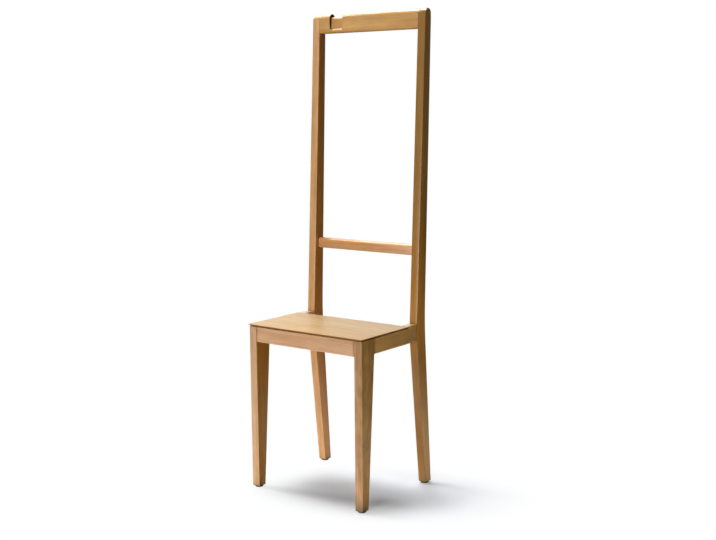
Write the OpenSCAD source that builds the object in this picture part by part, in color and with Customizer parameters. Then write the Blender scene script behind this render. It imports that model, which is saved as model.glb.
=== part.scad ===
// Clothes valet chair in solid hardwood, in millimetres.
// +Z is up, the seat's front faces -Y, and the origin lies on the floor at the middle of the chair.

/* [Overall] */
// Height of the seat board's top above the floor
seat_h = 460; // [420:1:500]
// Height of the rounded tops of the back posts above the floor
total_h = 1300; // [1150:5:1400]
// Width over the outer faces of the two side frames
frame_w = 380; // [320:1:460]
// Depth from the front legs' front faces to the back posts' front faces at the seat
frame_d = 251.5; // [235:0.5:320]

/* [Side frames] */
// Thickness of the front legs, back posts and side rails
frame_t = 24; // [20:0.5:30]
// Depth of a front leg under the seat board
leg_top_d = 58; // [45:0.5:62]
// Depth of a front leg at its foot
leg_foot_d = 26; // [20:0.5:36]
// Depth of a back post at the seat
post_seat_d = 38; // [32:0.5:50]
// Depth of a back post at the top
post_top_d = 26; // [20:0.5:32]
// Depth of a back post at its foot
post_foot_d = 25; // [20:0.5:34]
// How far the front of a back post leans back between the seat and the top
post_lean = 43; // [20:0.5:60]
// How far the front of a back post kicks back between the side rail and the foot
post_kick = 44; // [15:0.5:60]
// Radius of the curved knee on the back of a post
knee_r = 1000; // [300:10:1400]

/* [Seat rails] */
// Height of the rails under the seat board
rail_h = 42; // [36:0.5:60]
// Thickness of the front rail
front_rail_t = 22; // [18:0.5:28]
// Thickness of the rear rail under the board's back edge
rear_rail_t = 22; // [18:0.5:28]
// Size of the eased lower corners of the rails
rail_ease = 2.5; // [0.5:0.25:4]

/* [Seat board] */
// Depth of the seat board, from its front edge to its back edge
board_d = 213; // [205:0.5:225]
// Thickness of the board's lip, which lies on the frame
lip_t = 6; // [4:0.25:9]
// How far the lip stands out in front of the frame and beside it
lip_out = 2; // [1:0.25:5]
// Height of the lip's upright edge above its undercut
lip_edge_t = 1.5; // [0.5:0.25:3]
// How far the undercut runs in over the frame, where it leaves a shadow line
lip_undercut = 3; // [0:0.25:6]
// Depth of the board's body below the lip, between the rails
board_body_t = 10; // [6:0.5:14]
// Gap between the board's body and the rails round it
board_gap = 0.5; // [0.3:0.1:1.5]

/* [Middle rail] */
// Height of the middle rail's lower face above the floor
mid_rail_z = 643; // [560:1:800]
// Height of the middle rail's section
mid_rail_h = 29; // [24:0.5:50]
// Thickness of the middle rail's section
mid_rail_t = 21; // [18:0.5:22]
// How far the middle rail's front lies behind the posts' front faces
mid_rail_back = 13; // [5:0.5:13]
// Radius of the middle rail's rounded upper corners
mid_rail_r = 8; // [3:0.25:9]

/* [Top rail] */
// Height of the top rail, from its lower face to its rounded top
top_rail_h = 53; // [45:0.5:90]
// Distance from the left post to the hanger saddle
saddle_x = 35; // [25:0.5:120]
// Width of the hanger saddle
saddle_w = 44; // [25:0.5:70]
// Depth of the hanger saddle behind the rail's front face
saddle_d = 8; // [6:0.25:12]
// How far the tongue behind the saddle lies below the rail's top
saddle_drop = 8; // [3:0.25:12]
// Height of wood left below the saddle's front edge
saddle_sill = 8; // [6:0.25:14]
// Slope of the saddle's floor, which falls towards the front
saddle_slope = 30; // [10:1:40]

/* [Dowels] */
// Diameter of the seat frame's and top rail's dowels
dowel_d = 8; // [6:0.5:10]
// Diameter of the middle rail's dowels
mid_dowel_d = 6; // [5:0.5:8]
// Length that a dowel reaches into each of its two pieces
dowel_reach = 15; // [12:0.5:18]
// Distance between the two dowels of a joint in the seat frame and the top rail
dowel_pitch = 20; // [16:0.5:24]
// Distance between the two dowels of a joint of the middle rail
mid_dowel_pitch = 12; // [10:0.5:14]
// Play round a dowel in its bore, on the radius
dowel_play = 0.1; // [0.05:0.01:0.2]
// Room for glue past each end of a dowel
glue_room = 0.8; // [0.3:0.1:0.9]
// Size of the chamfer round a dowel's ends
dowel_chamfer = 1; // [0.5:0.25:1.5]

/* [Corner blocks] */
// Length of a corner block along each of its two rails
block_leg = 40; // [36:0.5:44]
// Width of the flat at each sharp end of a corner block
block_nose = 6; // [3:0.5:10]
// Height of a corner block
block_h = 24; // [20:0.5:28]
// Distance of a block's two side screws from its square corner
side_screw_off = 28.5; // [27:0.5:30]
// Distance of a seat screw from both faces at the block's square corner
seat_screw_off = 13.5; // [11:0.5:15]

/* [Screws] */
// Diameter of the screws' shanks
screw_d = 4; // [3:0.25:5]
// Diameter of the screws' heads
screw_head_d = 8; // [6:0.25:9]
// Height of the screws' heads
screw_head_h = 2.8; // [2:0.1:4]
// How far a screw reaches past the block into a rail or leg
screw_bite = 13; // [10:0.5:16]
// How far a seat screw reaches into the seat board
seat_screw_bite = 12; // [8:0.5:13]
// Wood left between a screw's head and the far side of its block
screw_grip = 10; // [7:0.5:12]
// Play round a screw in its hole, on the radius
screw_play = 0.1; // [0.05:0.01:0.2]
// Room round a screw's head in its pocket, on the radius
head_room = 1; // [0.5:0.1:1.5]

/* [Glides] */
// Diameter of a glide under a foot
glide_d = 22; // [15:0.5:24]
// Thickness of a glide
glide_t = 4; // [3:0.25:8]
// Size of the eased lower edge of a glide
glide_ease = 1; // [0.25:0.25:2]
// Diameter of the nail that holds a glide
nail_d = 2; // [1.5:0.1:3]
// Diameter of the nail's head
nail_head_d = 5; // [4:0.25:8]
// Thickness of the nail's head
nail_head_h = 1; // [0.5:0.1:1.4]
// Length that the nail reaches up into the foot
nail_reach = 18; // [12:1:30]

/* [Hidden] */

// Colours
wood_face = [0.80, 0.62, 0.43];
wood_seat = [0.88, 0.76, 0.60];
wood_block = [0.72, 0.55, 0.38];
dowel_colour = [0.86, 0.74, 0.56];
steel_colour = [0.70, 0.70, 0.72];
glide_colour = [0.20, 0.14, 0.10];

// How far a bore's cutter runs out of the wood
past = 1;
// Faces round a bore, a dowel and a screw, and round a bullnose
round_fn = 48;
nose_fn = 96;

// Heights
rail_top_z = seat_h - lip_t;
rail_z = rail_top_z - rail_h;
rail_mid_z = (rail_top_z + rail_z) / 2;
board_under_z = rail_top_z - board_body_t;
block_z = board_under_z - block_h;
top_rail_z = total_h - top_rail_h;

// Widths: half the frame, the frame's inner face and the middle of a side frame's thickness
half_w = frame_w / 2;
inner_x = half_w - frame_t;
frame_mid_x = half_w - frame_t / 2;

// Depths are counted from the front legs' front faces, and the whole is then moved to the origin
knee_y = frame_d + post_seat_d;
foot_front_y = frame_d + post_kick;
foot_back_y = foot_front_y + post_foot_d;
top_front_y = frame_d + post_lean;
top_back_y = top_front_y + post_top_d;
board_back_y = board_d - lip_out;
rear_rail_y = board_back_y - rear_rail_t;

// Slopes of a post's front and back above the seat, as depth over height
front_slope = post_lean / (total_h - seat_h);
back_slope = (top_back_y - knee_y) / (total_h - seat_h);
front_angle = atan(front_slope);
back_angle = atan(back_slope);

function leg_back_y(z) = leg_foot_d + (leg_top_d - leg_foot_d) * (z - glide_t) / (rail_top_z - glide_t);
function post_front_y(z) = frame_d + (z - seat_h) * front_slope;
function post_back_y(z) = knee_y + (z - seat_h) * back_slope;
// Depth at which a dowel stands in the thinner wood behind the saddle
function top_dowel_y(z) = (post_front_y(z) + post_back_y(z) + saddle_d / 2) / 2;

// Radius of a nose that runs off both faces of a post and ends at height top_z,
// where the wood is thinner than the whole post by cut_d
function nose_r(top_z, cut_d) =
    (post_back_y(top_z) - post_front_y(top_z) - cut_d)
    / (1 / cos(front_angle) + 1 / cos(back_angle) + back_slope - front_slope);
function nose_z(top_z, cut_d) = top_z - nose_r(top_z, cut_d);
function nose_y(top_z, cut_d) =
    post_back_y(nose_z(top_z, cut_d)) - nose_r(top_z, cut_d) / cos(back_angle);
// The two points at which the nose leaves the front and the back face
function nose_front(top_z, cut_d) = [
    nose_y(top_z, cut_d) - nose_r(top_z, cut_d) * cos(front_angle),
    nose_z(top_z, cut_d) + nose_r(top_z, cut_d) * sin(front_angle)
];
function nose_back(top_z, cut_d) = [
    nose_y(top_z, cut_d) + nose_r(top_z, cut_d) * cos(back_angle),
    nose_z(top_z, cut_d) - nose_r(top_z, cut_d) * sin(back_angle)
];

// The knee is an arc between the straight lower back and the straight upper back
kick_angle = atan((foot_back_y - knee_y) / (seat_h - glide_t));
knee_run = knee_r * tan((kick_angle + back_angle) / 2);
knee_centre = [
    knee_y + knee_run * sin(kick_angle) + knee_r * cos(kick_angle),
    seat_h - knee_run * cos(kick_angle) + knee_r * sin(kick_angle)
];
knee_steps = 10;
knee_points = [
    for (i = [0:knee_steps])
        let (a = -kick_angle + (kick_angle + back_angle) * i / knee_steps)
        [knee_centre[0] - knee_r * cos(a), knee_centre[1] + knee_r * sin(a)]
];

// Hanger saddle
saddle_x0 = -inner_x + saddle_x;
tongue_top_z = total_h - saddle_drop;
saddle_floor_z = top_rail_z + saddle_sill;

// Places of the dowels, screws and glides
dowel_zs = [rail_mid_z - dowel_pitch / 2, rail_mid_z + dowel_pitch / 2];
mid_rail_y = post_front_y(mid_rail_z) + mid_rail_back;
mid_dowel_y = mid_rail_y + mid_rail_t / 2;
mid_dowel_z = mid_rail_z + (mid_rail_h - mid_rail_r / 2) / 2;
mid_dowel_zs = [mid_dowel_z - mid_dowel_pitch / 2, mid_dowel_z + mid_dowel_pitch / 2];
top_dowel_z = top_rail_z + (top_rail_h - post_top_d / 2) / 2 + rail_ease;
top_dowel_zs = [top_dowel_z - dowel_pitch / 2, top_dowel_z + dowel_pitch / 2];
front_dowel_y = front_rail_t / 2;
rear_dowel_y = rear_rail_y + rear_rail_t / 2;
head_pocket_d = screw_head_d + 2 * head_room;
front_foot_y = leg_foot_d / 2;
rear_foot_y = foot_front_y + post_foot_d / 2;
foot_ys = [front_foot_y, rear_foot_y];

// Moves the chair so that the origin is at the middle of its depth
module placed() {
    translate([0, -(max(foot_back_y, nose_back(total_h, 0)[0]) - lip_out) / 2, 0]) children();
}

// Turns an outline of depth and height so that it runs along X from x0 for len
module along_x(x0, len) {
    translate([x0, 0, 0]) rotate([90, 0, 90]) linear_extrude(len) children();
}

// Turns a section of width and height so that it runs along Y from y0 for len
module along_y(y0, len) {
    translate([0, y0 + len, 0]) rotate([90, 0, 0]) linear_extrude(len) children();
}

// A shape drawn for the right side, shown on the right (side 1) or the left (side -1)
module on_side(side) {
    if (side > 0) children();
    else mirror([1, 0, 0]) children();
}

// A bore or pin of diameter d along X, from x0 to x1
module rod_x(x0, x1, y, z, d) {
    translate([x0, y, z]) rotate([0, 90, 0]) cylinder(d = d, h = x1 - x0, $fn = round_fn);
}

// The same along Y, from y0 to y1
module rod_y(x, y0, y1, z, d) {
    translate([x, y1, z]) rotate([90, 0, 0]) cylinder(d = d, h = y1 - y0, $fn = round_fn);
}

// Bores on the right side for dowels across the joint at x = inner_x, at depth y and heights zs
module bores_x(y, zs, d) {
    reach = dowel_reach + glue_room;
    for (z = zs) rod_x(inner_x - reach, inner_x + reach, y, z, d + 2 * dowel_play);
}

// Bores on the right side for dowels across a joint at y = joint_y
module bores_y(joint_y, zs, d) {
    reach = dowel_reach + glue_room;
    for (z = zs) rod_y(frame_mid_x, joint_y - reach, joint_y + reach, z, d + 2 * dowel_play);
}

// A dowel with chamfered ends, centred on the origin along Z
module dowel(d) {
    r = d / 2;
    end_r = r - dowel_chamfer;
    straight = dowel_reach - dowel_chamfer;
    rotate_extrude($fn = round_fn) polygon([
        [0, -dowel_reach], [end_r, -dowel_reach], [r, -straight],
        [r, straight], [end_r, dowel_reach], [0, dowel_reach]
    ]);
}

module dowels_x(y, zs, d) {
    for (z = zs) translate([inner_x, y, z]) rotate([0, 90, 0]) dowel(d);
}

module dowels_y(joint_y, zs, d) {
    for (z = zs) translate([frame_mid_x, joint_y, z]) rotate([90, 0, 0]) dowel(d);
}

// ---- Front legs
module front_leg_outline() {
    polygon([
        [0, glide_t], [leg_foot_d, glide_t],
        [leg_top_d, rail_top_z], [0, rail_top_z]
    ]);
}

module front_leg(side) {
    color(wood_face) placed() on_side(side) difference() {
        along_x(inner_x, frame_t) front_leg_outline();
        bores_x(front_dowel_y, dowel_zs, dowel_d);
        for (z = dowel_zs) bores_y(leg_back_y(z), [z], dowel_d);
        block_screw_holes(front_rail_t, 1);
        nail_hole(front_foot_y);
    }
}

// ---- Back posts: one kneed piece from the foot to the rounded top
module post_outline() {
    union() {
        polygon(concat(
            [[foot_front_y, glide_t], [foot_back_y, glide_t]],
            knee_points,
            [nose_back(total_h, 0), nose_front(total_h, 0), [frame_d, seat_h], [frame_d, rail_z]]
        ));
        translate([nose_y(total_h, 0), nose_z(total_h, 0)]) circle(r = nose_r(total_h, 0), $fn = nose_fn);
    }
}

module rear_post(side) {
    color(wood_face) placed() on_side(side) difference() {
        along_x(inner_x, frame_t) post_outline();
        bores_y(frame_d, dowel_zs, dowel_d);
        bores_x(mid_dowel_y, mid_dowel_zs, mid_dowel_d);
        for (z = top_dowel_zs) bores_x(top_dowel_y(z), [z], dowel_d);
        nail_hole(rear_foot_y);
    }
}

// ---- Side rails, let in for the seat board's lip in front and flush with its top behind
module side_rail_outline() {
    polygon([
        [leg_back_y(rail_z), rail_z], [frame_d, rail_z], [frame_d, seat_h],
        [board_back_y + board_gap, seat_h], [board_back_y + board_gap, rail_top_z],
        [leg_top_d, rail_top_z]
    ]);
}

module side_rail_section() {
    polygon([
        [inner_x + rail_ease, rail_z], [half_w - rail_ease, rail_z], [half_w, rail_z + rail_ease],
        [half_w, seat_h], [inner_x, seat_h], [inner_x, rail_z + rail_ease]
    ]);
}

module side_rail(side) {
    color(wood_face) placed() on_side(side) difference() {
        intersection() {
            along_x(inner_x, frame_t) side_rail_outline();
            along_y(0, frame_d) side_rail_section();
        }
        for (z = dowel_zs) bores_y(leg_back_y(z), [z], dowel_d);
        bores_y(frame_d, dowel_zs, dowel_d);
        bores_x(rear_dowel_y, dowel_zs, dowel_d);
        block_screw_holes(front_rail_t, 1);
        block_screw_holes(rear_rail_y, -1);
    }
}

// ---- Front and rear rails between the side frames
module rail_section(y0, t) {
    polygon([
        [y0 + rail_ease, rail_z], [y0 + t - rail_ease, rail_z], [y0 + t, rail_z + rail_ease],
        [y0 + t, rail_top_z], [y0, rail_top_z], [y0, rail_z + rail_ease]
    ]);
}

module cross_rail(y0, t, dowel_y, block_y, dir) {
    difference() {
        along_x(-inner_x, 2 * inner_x) rail_section(y0, t);
        for (side = [1, -1]) on_side(side) {
            bores_x(dowel_y, dowel_zs, dowel_d);
            block_screw_holes(block_y, dir);
        }
    }
}

module front_rail() {
    color(wood_face) placed() cross_rail(0, front_rail_t, front_dowel_y, front_rail_t, 1);
}

module rear_rail() {
    color(wood_face) placed() cross_rail(rear_rail_y, rear_rail_t, rear_dowel_y, rear_rail_y, -1);
}

// ---- Seat board: a lip with an undercut edge over the frame, and a body between the rails
module lip_edge(low, high) {
    polygon([
        [low + lip_undercut, rail_top_z], [high - lip_undercut, rail_top_z],
        [high + lip_out, seat_h - lip_edge_t], [high + lip_out, seat_h],
        [low - lip_out, seat_h], [low - lip_out, seat_h - lip_edge_t]
    ]);
}

// The same edge in front, and a plain square edge at the back
module lip_side() {
    polygon([
        [lip_undercut, rail_top_z], [board_back_y, rail_top_z], [board_back_y, seat_h],
        [-lip_out, seat_h], [-lip_out, seat_h - lip_edge_t]
    ]);
}

module seat_board() {
    body_x = inner_x - board_gap;
    body_y0 = front_rail_t + board_gap;
    body_y1 = rear_rail_y - board_gap;
    color(wood_seat) placed() difference() {
        union() {
            intersection() {
                along_y(-lip_out, board_d) lip_edge(-half_w, half_w);
                along_x(-half_w - lip_out, frame_w + 2 * lip_out) lip_side();
            }
            translate([-body_x, body_y0, board_under_z])
                cube([2 * body_x, body_y1 - body_y0, board_body_t + lip_t / 2]);
        }
        seat_screw_bores(board_under_z - past, board_under_z + seat_screw_bite + glue_room);
    }
}

// ---- Middle rail, with rounded upper corners
module mid_rail_section() {
    y0 = mid_rail_y;
    y1 = mid_rail_y + mid_rail_t;
    z1 = mid_rail_z + mid_rail_h;
    ease = rail_ease / 2;
    union() {
        polygon([
            [y0 + ease, mid_rail_z], [y1 - ease, mid_rail_z], [y1, mid_rail_z + ease],
            [y1, z1 - mid_rail_r], [y1 - mid_rail_r, z1], [y0 + mid_rail_r, z1], [y0, z1 - mid_rail_r],
            [y0, mid_rail_z + ease]
        ]);
        for (y = [y0 + mid_rail_r, y1 - mid_rail_r])
            translate([y, z1 - mid_rail_r]) circle(r = mid_rail_r, $fn = nose_fn);
    }
}

module mid_rail() {
    color(wood_face) placed() difference() {
        along_x(-inner_x, 2 * inner_x) mid_rail_section();
        for (side = [1, -1]) on_side(side) bores_x(mid_dowel_y, mid_dowel_zs, mid_dowel_d);
    }
}

// ---- Top rail: the posts' own rounded section, with a saddle for a hanger's hook
module top_rail_section() {
    z0 = top_rail_z;
    z1 = top_rail_z + rail_ease;
    union() {
        polygon([
            [post_front_y(z0) + rail_ease, z0], [post_back_y(z0) - rail_ease, z0], [post_back_y(z1), z1],
            nose_back(total_h, 0), nose_front(total_h, 0), [post_front_y(z1), z1]
        ]);
        translate([nose_y(total_h, 0), nose_z(total_h, 0)]) circle(r = nose_r(total_h, 0), $fn = nose_fn);
    }
}

// What stays within the saddle's width: a sloping sill, and a thinner tongue with its own nose
module tongue_section() {
    cut_d = saddle_d;
    clear = saddle_d;
    sill_y = post_front_y(saddle_floor_z);
    tongue_z = saddle_floor_z + saddle_d * tan(saddle_slope);
    back = nose_back(tongue_top_z, cut_d);
    union() {
        polygon([
            [sill_y - clear, top_rail_z - clear], [top_back_y + clear, top_rail_z - clear],
            [top_back_y + clear, back[1]], back, nose_front(tongue_top_z, cut_d),
            [post_front_y(tongue_z) + saddle_d, tongue_z],
            [sill_y - clear, saddle_floor_z - clear * tan(saddle_slope)]
        ]);
        translate([nose_y(tongue_top_z, cut_d), nose_z(tongue_top_z, cut_d)])
            circle(r = nose_r(tongue_top_z, cut_d), $fn = nose_fn);
    }
}

module saddle_cut() {
    y0 = post_front_y(top_rail_z) - saddle_d / 2;
    y1 = top_back_y + saddle_d / 2;
    along_x(saddle_x0, saddle_w) difference() {
        translate([y0, top_rail_z]) square([y1 - y0, top_rail_h + saddle_d]);
        tongue_section();
    }
}

module top_rail() {
    color(wood_face) placed() difference() {
        along_x(-inner_x, 2 * inner_x) top_rail_section();
        saddle_cut();
        for (side = [1, -1]) on_side(side)
            for (z = top_dowel_zs) bores_x(top_dowel_y(z), [z], dowel_d);
    }
}

// ---- Corner blocks. Each has its square corner where a cross rail meets a side frame's inner face.
// dir is 1 for a block that runs back from the front rail and -1 for one that runs forward.
module block_frame(rail_y, dir) {
    translate([inner_x, rail_y, 0]) {
        if (dir > 0) children();
        else mirror([0, 1, 0]) children();
    }
}

// The two side screws run out of a block along +X and -Y of its own frame
module block_screw_holes(rail_y, dir) {
    reach = screw_bite + glue_room;
    d = screw_d + 2 * screw_play;
    block_frame(rail_y, dir) {
        rod_x(-past, reach, side_screw_off, rail_mid_z, d);
        rod_y(-side_screw_off, -reach, past, rail_mid_z, d);
    }
}

module corner_block(side, rail_y, dir) {
    d = screw_d + 2 * screw_play;
    color(wood_block) placed() on_side(side) block_frame(rail_y, dir) difference() {
        translate([0, 0, block_z]) linear_extrude(block_h) polygon([
            [0, 0], [0, block_leg], [-block_nose, block_leg],
            [-block_leg, block_nose], [-block_leg, 0]
        ]);
        rod_x(-block_leg, past, side_screw_off, rail_mid_z, d);
        rod_x(-block_leg, -screw_grip, side_screw_off, rail_mid_z, head_pocket_d);
        rod_y(-side_screw_off, -past, block_leg, rail_mid_z, d);
        rod_y(-side_screw_off, screw_grip, block_leg, rail_mid_z, head_pocket_d);
        translate([-seat_screw_off, seat_screw_off, block_z - past]) {
            cylinder(d = d, h = block_h + 2 * past, $fn = round_fn);
            cylinder(d = head_pocket_d, h = block_h - 2 * screw_grip + past, $fn = round_fn);
        }
    }
}

// A pan-head screw: its head's underside is at the origin and its shank runs along +Z
module screw(len) {
    tip = screw_d;
    dome = screw_head_h / 3;
    slot_w = screw_head_d / 8;
    slot_d = screw_head_h / 2;
    difference() {
        rotate_extrude($fn = round_fn) polygon([
            [0, -screw_head_h], [screw_head_d / 2 - dome, -screw_head_h],
            [screw_head_d / 2, -screw_head_h + dome], [screw_head_d / 2, 0],
            [screw_d / 2, 0], [screw_d / 2, len - tip], [0, len]
        ]);
        for (a = [0, 90]) rotate([0, 0, a])
            translate([-screw_head_d / 4, -slot_w / 2, -screw_head_h - past])
                cube([screw_head_d / 2, slot_w, slot_d + past]);
    }
}

module block_screws(side, rail_y, dir) {
    len = screw_grip + screw_bite;
    color(steel_colour) placed() on_side(side) block_frame(rail_y, dir) {
        translate([-screw_grip, side_screw_off, rail_mid_z]) rotate([0, 90, 0]) screw(len);
        translate([-side_screw_off, screw_grip, rail_mid_z]) rotate([90, 0, 0]) screw(len);
    }
}

// Runs its children once at each seat screw's place
module seat_screw_places() {
    for (side = [1, -1], end = [[front_rail_t, 1], [rear_rail_y, -1]])
        on_side(side) block_frame(end[0], end[1])
            translate([-seat_screw_off, seat_screw_off, 0]) children();
}

module seat_screw_bores(z0, z1) {
    seat_screw_places()
        translate([0, 0, z0]) cylinder(d = screw_d + 2 * screw_play, h = z1 - z0, $fn = round_fn);
}

module seat_screws() {
    len = 2 * screw_grip + seat_screw_bite;
    color(steel_colour) placed() seat_screw_places()
        translate([0, 0, board_under_z - 2 * screw_grip]) screw(len);
}

// ---- Dowels
module front_rail_dowels(side) {
    color(dowel_colour) placed() on_side(side) dowels_x(front_dowel_y, dowel_zs, dowel_d);
}

module rear_rail_dowels(side) {
    color(dowel_colour) placed() on_side(side) dowels_x(rear_dowel_y, dowel_zs, dowel_d);
}

module side_rail_front_dowels(side) {
    color(dowel_colour) placed() on_side(side)
        for (z = dowel_zs) dowels_y(leg_back_y(z), [z], dowel_d);
}

module side_rail_back_dowels(side) {
    color(dowel_colour) placed() on_side(side) dowels_y(frame_d, dowel_zs, dowel_d);
}

module mid_rail_dowels(side) {
    color(dowel_colour) placed() on_side(side) dowels_x(mid_dowel_y, mid_dowel_zs, mid_dowel_d);
}

module top_rail_dowels(side) {
    color(dowel_colour) placed() on_side(side)
        for (z = top_dowel_zs) dowels_x(top_dowel_y(z), [z], dowel_d);
}

// ---- Glides: a button under each foot, with a nail through it
module nail_hole(y) {
    translate([frame_mid_x, y, -past])
        cylinder(d = nail_d + 2 * screw_play, h = glide_t + nail_reach + glue_room + past, $fn = round_fn);
}

module glide(side, y) {
    r = glide_d / 2;
    color(glide_colour) placed() on_side(side) difference() {
        translate([frame_mid_x, y, 0]) rotate_extrude($fn = nose_fn) polygon([
            [0, 0], [r - glide_ease, 0], [r, glide_ease], [r, glide_t], [0, glide_t]
        ]);
        nail_hole(y);
        translate([frame_mid_x, y, -past])
            cylinder(d = nail_head_d + 2 * screw_play, h = past + glide_t / 2, $fn = round_fn);
    }
}

// A nail's flat head sits in the glide's underside
module nail(y) {
    tip = nail_d;
    translate([frame_mid_x, y, glide_t / 2]) rotate_extrude($fn = round_fn) polygon([
        [0, -nail_head_h], [nail_head_d / 2, -nail_head_h], [nail_head_d / 2, 0], [nail_d / 2, 0],
        [nail_d / 2, glide_t / 2 + nail_reach - tip], [0, glide_t / 2 + nail_reach]
    ]);
}

module glide_nails() {
    color(steel_colour) placed() for (side = [1, -1], y = foot_ys) on_side(side) nail(y);
}

front_leg(-1);  // left_front_leg
front_leg(1);  // right_front_leg
rear_post(-1);  // left_rear_post
rear_post(1);  // right_rear_post
side_rail(-1);  // left_side_rail
side_rail(1);  // right_side_rail
front_rail();
rear_rail();
seat_board();
mid_rail();
top_rail();
corner_block(-1, front_rail_t, 1);  // front_left_corner_block
corner_block(1, front_rail_t, 1);  // front_right_corner_block
corner_block(-1, rear_rail_y, -1);  // rear_left_corner_block
corner_block(1, rear_rail_y, -1);  // rear_right_corner_block
block_screws(-1, front_rail_t, 1);  // front_left_block_screws
block_screws(1, front_rail_t, 1);  // front_right_block_screws
block_screws(-1, rear_rail_y, -1);  // rear_left_block_screws
block_screws(1, rear_rail_y, -1);  // rear_right_block_screws
seat_screws();
front_rail_dowels(-1);  // left_front_rail_dowels
front_rail_dowels(1);  // right_front_rail_dowels
rear_rail_dowels(-1);  // left_rear_rail_dowels
rear_rail_dowels(1);  // right_rear_rail_dowels
side_rail_front_dowels(-1);  // left_side_rail_front_dowels
side_rail_front_dowels(1);  // right_side_rail_front_dowels
side_rail_back_dowels(-1);  // left_side_rail_back_dowels
side_rail_back_dowels(1);  // right_side_rail_back_dowels
mid_rail_dowels(-1);  // left_mid_rail_dowels
mid_rail_dowels(1);  // right_mid_rail_dowels
top_rail_dowels(-1);  // left_top_rail_dowels
top_rail_dowels(1);  // right_top_rail_dowels
glide(-1, front_foot_y);  // front_left_glide
glide(1, front_foot_y);  // front_right_glide
glide(-1, rear_foot_y);  // rear_left_glide
glide(1, rear_foot_y);  // rear_right_glide
glide_nails();
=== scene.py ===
import math
import bmesh
import bpy
from mathutils import Euler, Matrix, Vector


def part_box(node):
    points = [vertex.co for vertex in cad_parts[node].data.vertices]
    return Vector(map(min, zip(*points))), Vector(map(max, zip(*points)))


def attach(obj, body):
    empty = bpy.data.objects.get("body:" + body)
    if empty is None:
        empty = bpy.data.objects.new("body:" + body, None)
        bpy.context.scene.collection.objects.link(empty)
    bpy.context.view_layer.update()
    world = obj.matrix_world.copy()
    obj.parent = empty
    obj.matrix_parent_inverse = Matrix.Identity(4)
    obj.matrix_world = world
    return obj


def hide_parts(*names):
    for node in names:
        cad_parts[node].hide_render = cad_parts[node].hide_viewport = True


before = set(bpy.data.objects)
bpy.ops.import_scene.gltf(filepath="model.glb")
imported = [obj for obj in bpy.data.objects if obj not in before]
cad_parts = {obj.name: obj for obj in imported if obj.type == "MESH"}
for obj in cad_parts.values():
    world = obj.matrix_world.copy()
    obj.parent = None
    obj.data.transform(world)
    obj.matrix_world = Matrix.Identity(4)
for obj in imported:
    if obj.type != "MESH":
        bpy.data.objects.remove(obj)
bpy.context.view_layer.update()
print("frame loaded:", len(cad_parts), "nodes")

mm = 0.001


def addNode(tree, kind, **settings):
    node = tree.nodes.new(kind)
    for key, value in settings.items():
        setattr(node, key, value)
    return node


def feed(tree, socket, value):
    # a socket is linked, anything else is written into the field
    if isinstance(value, bpy.types.NodeSocket):
        tree.links.new(value, socket)
    else:
        socket.default_value = value


def calc(tree, operation, *values):
    node = addNode(tree, "ShaderNodeMath", operation=operation)
    for socket, value in zip(node.inputs, values):
        feed(tree, socket, value)
    return node.outputs[0]


def weighted(tree, start, *terms):
    # start, plus each value times its weight
    total = start
    for value, weight in terms:
        total = calc(tree, "MULTIPLY_ADD", value, weight, total)
    return total


def calcVector(tree, operation, *values):
    node = addNode(tree, "ShaderNodeVectorMath", operation=operation)
    for socket, value in zip(node.inputs, values):
        feed(tree, socket, value)
    return node.outputs["Value" if operation in ("LENGTH", "DOT_PRODUCT") else "Vector"]


def scaleVector(tree, vector, factor):
    node = addNode(tree, "ShaderNodeVectorMath", operation="SCALE")
    feed(tree, node.inputs[0], vector)
    feed(tree, node.inputs["Scale"], factor)
    return node.outputs[0]


def splitVector(tree, vector):
    node = addNode(tree, "ShaderNodeSeparateXYZ")
    feed(tree, node.inputs[0], vector)
    return node.outputs


def joinVector(tree, *values):
    node = addNode(tree, "ShaderNodeCombineXYZ")
    for socket, value in zip(node.inputs, values):
        feed(tree, socket, value)
    return node.outputs[0]


def ramp(tree, value, low, high, toLow=0.0, toHigh=1.0):
    node = addNode(tree, "ShaderNodeMapRange", interpolation_type="SMOOTHSTEP")
    for socket, given in zip(node.inputs, (value, low, high, toLow, toHigh)):
        feed(tree, socket, given)
    return node.outputs[0]


def mixColour(tree, factor, first, second, blend="MIX"):
    node = addNode(tree, "ShaderNodeMix", data_type="RGBA", blend_type=blend)
    feed(tree, node.inputs[0], factor)
    feed(tree, node.inputs[6], first)
    feed(tree, node.inputs[7], second)
    return node.outputs[2]


def shaded(tree, mask, colour, tone):
    # the colour is multiplied by a tone where the mask is 1
    return mixColour(tree, mask, colour, (*tone, 1.0), "MULTIPLY")


def noise(tree, vector, detail=2.0, roughness=0.5):
    node = addNode(tree, "ShaderNodeTexNoise")
    feed(tree, node.inputs["Vector"], vector)
    node.inputs["Scale"].default_value = 1.0
    node.inputs["Detail"].default_value = detail
    node.inputs["Roughness"].default_value = roughness
    return node


def around(tree, value, amount):
    # a noise value from 0 to 1 becomes a swing about zero
    return calc(tree, "MULTIPLY", calc(tree, "SUBTRACT", value, 0.5), amount)


def groupSockets(tree, inputs, outputs):
    for name, kind, value in inputs:
        socket = tree.interface.new_socket(name, in_out="INPUT", socket_type="NodeSocket" + kind)
        if value is not None:
            socket.default_value = value
    for name, kind in outputs:
        tree.interface.new_socket(name, in_out="OUTPUT", socket_type="NodeSocket" + kind)
    return addNode(tree, "NodeGroupInput").outputs, addNode(tree, "NodeGroupOutput").inputs


def useGroup(tree, group, **values):
    node = addNode(tree, "ShaderNodeGroup", node_tree=group)
    for name, value in values.items():
        feed(tree, node.inputs[name.replace("_", " ")], value)
    return node.outputs


def newMaterial(name):
    material = bpy.data.materials.new(name)
    material.use_nodes = True
    return material, material.node_tree, material.node_tree.nodes["Principled BSDF"]


def objectPlace(tree):
    return addNode(tree, "ShaderNodeTexCoord").outputs["Object"]


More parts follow.
